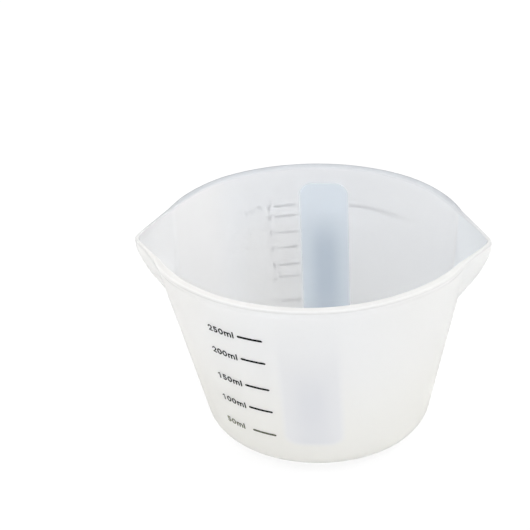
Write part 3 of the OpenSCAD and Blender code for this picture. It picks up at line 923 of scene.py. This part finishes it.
@dataclass(frozen=True)
class WindowTint:
    """How one polished window paints the shade that shows through it, from its top down to its core.

    The colours are the clear silicone's bluish tint with painted shadow of what lies behind, darker
    from the top down to the core. The core is a band round a middle line, with soft sides, that starts
    below a height and weakens again at the window's foot. The border is a painted highlight, 4 s (1 - s)
    of the window's share s. A window without a border at its top fades out upwards, with its colour and
    its polish.
    """

    attribute: str
    # Bluish tint of the clear silicone with painted shadow, from the top colour down to the core colour
    top_colour: tuple
    colour: tuple
    core_colour: tuple
    core_half_width: float
    core_soft: float
    core_top: float
    core_full: float
    top_from: float
    top_gone: float
    border_strength: float
    border_at_top: float
    roughness: float
    core_middle: float = 1.5
    foot_from: float = 32.0
    foot_full: float = 20.0
    foot_core: float = 0.72
    # Painted highlight along the window's border
    border_colour: tuple = (0.95, 0.96, 0.97)

    def apply(self, nodes: NodeTree, axes: Sockets, below: object) -> tuple[Socket, Socket]:
        """Lays the window over a colour.

        Args:
            nodes: The tree to build in.
            axes: The sockets of x, y and z on the object.
            below: The colour under the window.

        Returns:
            The new colour and the share of the window's polish.
        """
        x, z = axes[0], axes[2]
        share = nodes.point_value(self.attribute)
        down = nodes.ramp(z, self.top_from, self.top_gone)
        own = nodes.blend(down, self.top_colour, self.colour)
        # Painted shadow seen through the window, darkest in the core
        across = nodes.band(x, self.core_middle, self.core_half_width, self.core_soft)
        low = nodes.ramp(z, self.core_top, self.core_full)
        foot = nodes.ramp(z, self.foot_from, self.foot_full, 1.0, self.foot_core)
        core = nodes.times(nodes.times(across, low), foot)
        own = nodes.blend(core, own, self.core_colour)
        polish = nodes.times(share, nodes.math("MAXIMUM", down, self.border_at_top))
        # Painted highlight along the window's border
        border = nodes.times(polish, nodes.times(nodes.rest(share), 4.0 * self.border_strength))
        own = nodes.blend(border, own, self.border_colour)
        return nodes.blend(polish, below, own), polish


@dataclass(frozen=True)
class SiliconeFinish:
    """Soft clear silicone: frosted outside, smoother inside, with two polished windows.

    The outside is warmer at the sides and below. The inside carries painted shade, cooler than the
    outside, with painted light at the left, a painted soft shadow beside the back scale, painted shade
    in the spouts, bluer at the right, and a painted highlight along the spouts' creases: 4 s (1 - s) of
    the share s that lies in the spout.
    """

    name: str = "frosted_silicone"
    middle_colour: tuple = (0.953, 0.953, 0.95)
    side_colour: tuple = (0.945, 0.939, 0.921)
    side_from: float = 8.0
    side_full: float = 38.0
    low_colour: tuple = (0.925, 0.915, 0.873)
    low_full: float = 12.0
    low_from: float = 60.0
    # Painted shade: the inside is cooler and darker than the outside of the same silicone
    inside_colour: tuple = (0.875, 0.89, 0.915)
    # Painted light: the inside is paler towards the left
    left_inside_colour: tuple = (0.90, 0.90, 0.907)
    left_inside_from: float = -28.0
    left_inside_full: float = -38.0
    shade_colour: tuple = (0.858, 0.864, 0.875)
    shade_middle: float = -18.0
    shade_half_width: float = 4.0
    shade_soft: float = 14.0
    shade_from: float = 66.0
    shade_full: float = 50.0
    # Painted shade in the spouts, bluer at the right spout
    left_spout_colour: tuple = (0.86, 0.864, 0.876)
    right_spout_colour: tuple = (0.83, 0.862, 0.897)
    # Painted highlight along the spouts' creases
    crease_colour: tuple = (0.94, 0.945, 0.955)
    crease_strength: float = 0.6
    # Painted shade on the rim's top, deeper on the far rim, and a painted dark line on the far rim's outer
    # edge
    rim_colour: tuple = (0.79, 0.783, 0.768)
    far_rim_colour: tuple = (0.53, 0.55, 0.58)
    near_edge_kept: float = 0.35
    far_line_colour: tuple = (0.42, 0.43, 0.46)
    sides_apart: float = 20.0
    far_from: float = -8.0
    far_full: float = 22.0
    outside_roughness: float = 0.6
    inside_roughness: float = 0.45
    transmission: float = 0.5
    grain_scale: float = 2600.0
    mottle_scale: float = 45.0
    mottle_depth: float = 0.02
    bump_distance: float = 0.00006
    bump_strength: float = 0.25
    ior: float = 1.41
    # Window tints: painted shadow of what lies behind each clear window, and a painted highlight on its
    # border
    windows: tuple = (
        WindowTint("front_window", (0.86, 0.865, 0.88), (0.86, 0.865, 0.88), (0.79, 0.80, 0.83),
                   core_half_width=1.0, core_soft=8.0, core_top=56.0, core_full=34.0,
                   top_from=74.0, top_gone=44.0, border_strength=0.25, border_at_top=0.0, roughness=0.3),
        WindowTint("back_window", (0.81, 0.87, 0.93), (0.75, 0.81, 0.875), (0.60, 0.675, 0.755),
                   core_half_width=1.0, core_soft=7.0, core_top=62.0, core_full=44.0,
                   top_from=68.0, top_gone=50.0, border_strength=0.6, border_at_top=1.0, roughness=0.15),
    )

    def rim_tint(self, nodes: NodeTree, axes: Sockets, below: object) -> Socket:
        """Paints shade on the rim's top, deeper on the far side, and a painted dark shade line on the far
        rim's outer edge.

        The near rim's outer edge keeps part of the outside's colour.

        Args:
            nodes: The tree to build in.
            axes: The sockets of x, y and z on the object.
            below: The colour under the tint.

        Returns:
            The new colour.
        """
        edge = nodes.point_value("rim_edge")
        far = nodes.ramp(axes[1], self.far_from, self.far_full)
        top = nodes.add("MapRange", {0: edge, 1: 0.0, 2: RIM_FLAT}).outputs[0]
        outer = nodes.add("MapRange", {0: edge, 1: RIM_FLAT, 2: RIM_OUTER}).outputs[0]
        rim = nodes.blend(far, self.rim_colour, self.far_rim_colour)
        near = nodes.times(nodes.rest(far), self.near_edge_kept)
        kept = nodes.rest(nodes.times(outer, near))
        colour = nodes.blend(nodes.times(top, kept), below, rim)
        return nodes.blend(nodes.times(outer, far), colour, self.far_line_colour)

    def build(self, effects: SurfaceEffects) -> bpy.types.Material:
        """Builds the material.

        Args:
            effects: The shared node groups.

        Returns:
            The material.
        """
        material, nodes = start_material(self.name)
        place = nodes.add("TexCoord").outputs["Object"]
        axes = nodes.add("SeparateXYZ", {0: place}).outputs
        x, z = axes[0], axes[2]
        scales = {0: place, 1: self.grain_scale, 2: self.mottle_scale}
        grain = nodes.add("Group", scales, node_tree=effects.grain)
        inside = nodes.point_value("inside")
        spout = nodes.point_value("spout")
        low = nodes.ramp(z, self.low_from, self.low_full)
        off_middle = nodes.math("ABSOLUTE", x)
        aside = nodes.ramp(off_middle, self.side_from, self.side_full)
        outer = nodes.blend(aside, self.middle_colour, self.side_colour)
        outer = nodes.blend(low, outer, self.low_colour)
        # Painted shade in the spouts, from the left spout's colour to the right's
        to_right = nodes.ramp(x, -self.sides_apart, self.sides_apart)
        spouts = nodes.blend(to_right, self.left_spout_colour, self.right_spout_colour)
        across = nodes.band(x, self.shade_middle, self.shade_half_width, self.shade_soft)
        down = nodes.ramp(z, self.shade_from, self.shade_full)
        # Painted shade on the inside, with a painted soft shadow beside the back scale
        inner = nodes.blend(nodes.times(across, down), self.inside_colour, self.shade_colour)
        # Painted light on the left of the inside
        left_light = nodes.ramp(x, self.left_inside_full, self.left_inside_from, 1.0, 0.0)
        inner = nodes.blend(left_light, inner, self.left_inside_colour)
        inner = nodes.blend(spout, inner, spouts)
        # Painted highlight along the spouts' creases
        crease = nodes.times(spout, nodes.times(nodes.rest(spout), 4.0 * self.crease_strength))
        inner = nodes.blend(crease, inner, self.crease_colour)
        colour = nodes.blend(inside, outer, inner)
        limits = {0: inside, 3: self.outside_roughness, 4: self.inside_roughness}
        rough = nodes.add("MapRange", limits).outputs[0]
        for tint in self.windows:
            colour, polish = tint.apply(nodes, axes, colour)
            rough = nodes.add("Mix", {0: polish, 2: rough, 3: tint.roughness}).outputs[0]
        # Painted shade on the rim
        colour = self.rim_tint(nodes, axes, colour)
        mottle = nodes.math("MULTIPLY_ADD", grain.outputs["Mottle"], self.mottle_depth)
        mottle.node.inputs[2].default_value = 1.0 - self.mottle_depth / 2
        shaded = nodes.add("VectorMath", {0: colour, 1: mottle}, operation="MULTIPLY").outputs[0]
        bump = nodes.add("Bump", {"Height": grain.outputs["Height"], "Strength": self.bump_strength,
                                  "Distance": self.bump_distance})
        shader = nodes.add("BsdfPrincipled", {
            "Base Color": shaded, "Roughness": rough, "Normal": bump.outputs[0],
            "IOR": self.ior, "Transmission Weight": self.transmission,
        })
        nodes.add("OutputMaterial", {0: shader.outputs[0]})
        return material


@dataclass(frozen=True)
class InkFinish:
    """Satin black printing ink with a painted sheen that turns it paler and olive towards the base and the
    left.

    The side on the wall, which is seen through the silicone, is greyer.
    """

    name: str
    behind_colour: tuple
    full_colour: tuple = (0.002, 0.002, 0.002)
    # Painted sheen: the ink turns paler and olive towards the base and the left
    thin_colour: tuple = (0.29, 0.30, 0.20)
    thin_below: float = 8.0
    full_above: float = 36.0
    roughness: float = 0.6
    thin_power: float = 3.0
    left_from: float = -20.0
    left_share: float = 0.9
    patches: float = 0.2
    specular: float = 0.08
    grain_scale: float = 5200.0
    mottle_scale: float = 900.0
    roughness_spread: float = 0.06
    bump_strength: float = 0.2
    bump_distance: float = 0.00003

    def build(self, effects: SurfaceEffects) -> bpy.types.Material:
        """Builds the material.

        Args:
            effects: The shared node groups.

        Returns:
            The material.
        """
        material, nodes = start_material(self.name)
        place = nodes.add("TexCoord").outputs["Object"]
        scales = {0: place, 1: self.grain_scale, 2: self.mottle_scale}
        grain = nodes.add("Group", scales, node_tree=effects.grain)
        axes = nodes.add("SeparateXYZ", {0: place}).outputs
        x, z = axes[0], axes[2]
        # Painted sheen, strongest towards the base and the left
        past = nodes.math("MINIMUM", nodes.math("SUBTRACT", x, self.left_from * MM), 0.0)
        level = nodes.math("ADD", z, nodes.times(past, self.left_share))
        limits = {0: level, 1: self.thin_below * MM, 2: self.full_above * MM, 3: 1.0, 4: 0.0}
        sheen = nodes.math("POWER", nodes.add("MapRange", limits).outputs[0], self.thin_power)
        mottle = nodes.times(nodes.math("SUBTRACT", grain.outputs["Mottle"], 0.5), self.patches)
        patchy_sheen = nodes.times(sheen, nodes.math("ADD", mottle, 1.0))
        colour = nodes.blend(patchy_sheen, self.full_colour, self.thin_colour)
        normal = nodes.add("TexCoord").outputs["Normal"]
        in_plan = (1.0, 1.0, 0.0)
        outward = nodes.add("VectorMath", {0: place, 1: in_plan}, operation="MULTIPLY").outputs[0]
        facing = nodes.add("VectorMath", {0: normal, 1: outward}, operation="DOT_PRODUCT").outputs["Value"]
        behind = nodes.math("LESS_THAN", facing, 0.0)
        colour = nodes.blend(behind, colour, self.behind_colour)
        smoothest = self.roughness - self.roughness_spread
        roughest = self.roughness + self.roughness_spread
        limits = {0: grain.outputs["Mottle"], 3: smoothest, 4: roughest}
        rough = nodes.add("MapRange", limits).outputs[0]
        bump = nodes.add("Bump", {"Height": grain.outputs["Height"], "Strength": self.bump_strength,
                                  "Distance": self.bump_distance})
        shader = nodes.add("BsdfPrincipled", {
            "Base Color": colour, "Roughness": rough, "Normal": bump.outputs[0],
            "Specular IOR Level": self.specular,
        })
        nodes.add("OutputMaterial", {0: shader.outputs[0]})
        return material


@dataclass(frozen=True)
class PhotoView:
    """The camera: its angles, its distance and where the cup's middle falls in the picture."""

    azimuth: float = 8.66
    elevation: float = 36.94
    roll: float = -4.4
    distance: float = 443.2
    focal_px: float = 1300.0
    right_px: float = 49.62
    down_px: float = 60.01
    middle_height: float = 39.0
    sensor: float = 36.0
    clip_start: float = 0.01

    def build(self) -> bpy.types.Object:
        """Builds the camera and makes it the scene's.

        Returns:
            The camera's object.
        """
        az, el, roll = (math.radians(v) for v in (self.azimuth, self.elevation, self.roll))
        back = Vector((math.sin(az) * math.cos(el), -math.cos(az) * math.cos(el), math.sin(el)))
        level = Vector((math.cos(az), math.sin(az), 0.0))
        above = back.cross(level)
        right = math.cos(roll) * level + math.sin(roll) * above
        up = math.cos(roll) * above - math.sin(roll) * level
        scale = self.distance / self.focal_px
        eye = Vector((0.0, 0.0, self.middle_height)) + back * self.distance
        eye = eye - right * self.right_px * scale + up * self.down_px * scale
        data = bpy.data.cameras.new("photo_camera")
        data.sensor_width = self.sensor
        data.lens = self.focal_px / IMAGE_SIZE * self.sensor
        data.clip_start = self.clip_start
        camera = bpy.data.objects.new("photo_camera", data)
        camera.matrix_world = Matrix.Translation(eye * MM) @ Matrix((right, up, back)).transposed().to_4x4()
        bpy.context.scene.collection.objects.link(camera)
        bpy.context.scene.camera = camera
        return camera


@dataclass(frozen=True)
class Lamp:
    """A square soft box that points at the cup."""

    name: str
    place: tuple
    size: float
    power: float
    aim: tuple = (0.0, 0.0, 0.04)

    def build(self) -> None:
        """Builds the lamp."""
        data = bpy.data.lights.new(self.name, "AREA")
        data.shape = "SQUARE"
        data.size = self.size
        data.energy = self.power
        lamp = bpy.data.objects.new(self.name, data)
        lamp.location = self.place
        away = Vector(self.place) - Vector(self.aim)
        lamp.rotation_euler = away.to_track_quat("Z", "Y").to_euler()
        bpy.context.scene.collection.objects.link(lamp)


@dataclass(frozen=True)
class Studio:
    """Plain pale floor, white surroundings and soft lamps."""

    floor_half: float = 3.0
    floor_z: float = -0.0001
    floor_colour: tuple = (0.9, 0.9, 0.9, 1.0)
    floor_glow: float = 0.85
    ambient: float = 0.76
    lamps: tuple = (
        Lamp("right_soft_box", (0.65, 0.0, 1.126), 0.7, 9.8),
        Lamp("left_soft_box", (-0.65, 0.0, 1.126), 0.7, 7.2),
        Lamp("front_soft_box", (0.0, -1.126, 0.65), 0.7, 1.8),
    )

    def backdrop_rays(self, nodes: NodeTree) -> Socket:
        """Finds the rays that see plain white surroundings: camera, glossy and transmitted.

        Args:
            nodes: The tree to build in.

        Returns:
            1 for those rays and 0 for the rest.
        """
        path = nodes.add("LightPath")
        seen = nodes.math("MAXIMUM", path.outputs["Is Camera Ray"], path.outputs["Is Glossy Ray"])
        return nodes.math("MAXIMUM", seen, path.outputs["Is Transmission Ray"])

    def build_floor(self) -> None:
        """Builds the floor, which glows white to the camera and keeps a faint shadow."""
        h = self.floor_half / MM
        corners = np.array([[-h, -h, 0], [h, -h, 0], [h, h, 0], [-h, h, 0]]) + [0, 0, self.floor_z / MM]
        floor = build_mesh("pale_floor", corners, np.array([[0, 1, 2, 3]]))
        material, nodes = start_material("pale_floor")
        plain = nodes.add("BsdfDiffuse", {"Color": self.floor_colour})
        glow = nodes.add("Emission", {"Color": WHITE, "Strength": 1.0})
        seen = nodes.times(self.backdrop_rays(nodes), self.floor_glow)
        mixed = nodes.add("MixShader", {0: seen, 1: plain.outputs[0], 2: glow.outputs[0]})
        nodes.add("OutputMaterial", {0: mixed.outputs[0]})
        floor.data.materials.append(material)

    def build_world(self) -> None:
        """Builds the white surroundings: plain white where they are seen, and softer as a light."""
        world = bpy.data.worlds.new("white_surroundings")
        bpy.context.scene.world = world
        world.use_nodes = True
        nodes = NodeTree(world.node_tree)
        light = nodes.add("Background", {"Color": WHITE, "Strength": self.ambient})
        seen = nodes.add("Background", {"Color": WHITE, "Strength": 1.0})
        rays = self.backdrop_rays(nodes)
        mixed = nodes.add("MixShader", {0: rays, 1: light.outputs[0], 2: seen.outputs[0]})
        nodes.add("OutputWorld", {0: mixed.outputs[0]})

    def build(self) -> None:
        """Builds floor, surroundings and lamps."""
        self.build_floor()
        self.build_world()
        for lamp in self.lamps:
            lamp.build()
        bpy.context.scene.view_settings.view_transform = "Standard"


@dataclass(frozen=True)
class Finishes:
    """Every finish of the cup."""

    silicone: SiliconeFinish = SiliconeFinish()
    line_ink: InkFinish = InkFinish("satin_black_line_ink", behind_colour=(0.44, 0.44, 0.48))
    label_ink: InkFinish = InkFinish("satin_black_label_ink", behind_colour=(0.12, 0.12, 0.14))


def main() -> None:
    """Builds the cup, its prints, the studio and the camera, and reports each piece."""
    logging.basicConfig(level=logging.INFO, format="%(message)s")
    form = WallForm()
    finishes = Finishes()
    effects = SurfaceEffects()
    silicone = finishes.silicone.build(effects)
    line_ink = finishes.line_ink.build(effects)
    label_ink = finishes.label_ink.build(effects)

    cup = Moulding(form).build()
    cup.data.materials.append(silicone)
    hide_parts("cup_body")
    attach(cup, "root")
    log.info("cup_moulding: %d faces", len(cup.data.polygons))

    printing = Printing(form)
    for word in printing.words():
        label = printing.build(word)
        label.data.materials.append(label_ink)
        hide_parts(word.node)
        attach(label, "root")
        log.info("%s: %d faces", word.piece, len(label.data.polygons))

    for name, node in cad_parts.items():
        if name.startswith("line_"):
            node.material_slots[0].material = line_ink
            log.info("%s: ink on the packed print", name)

    Studio().build()
    PhotoView().build()


if __name__ == "__main__":
    main()
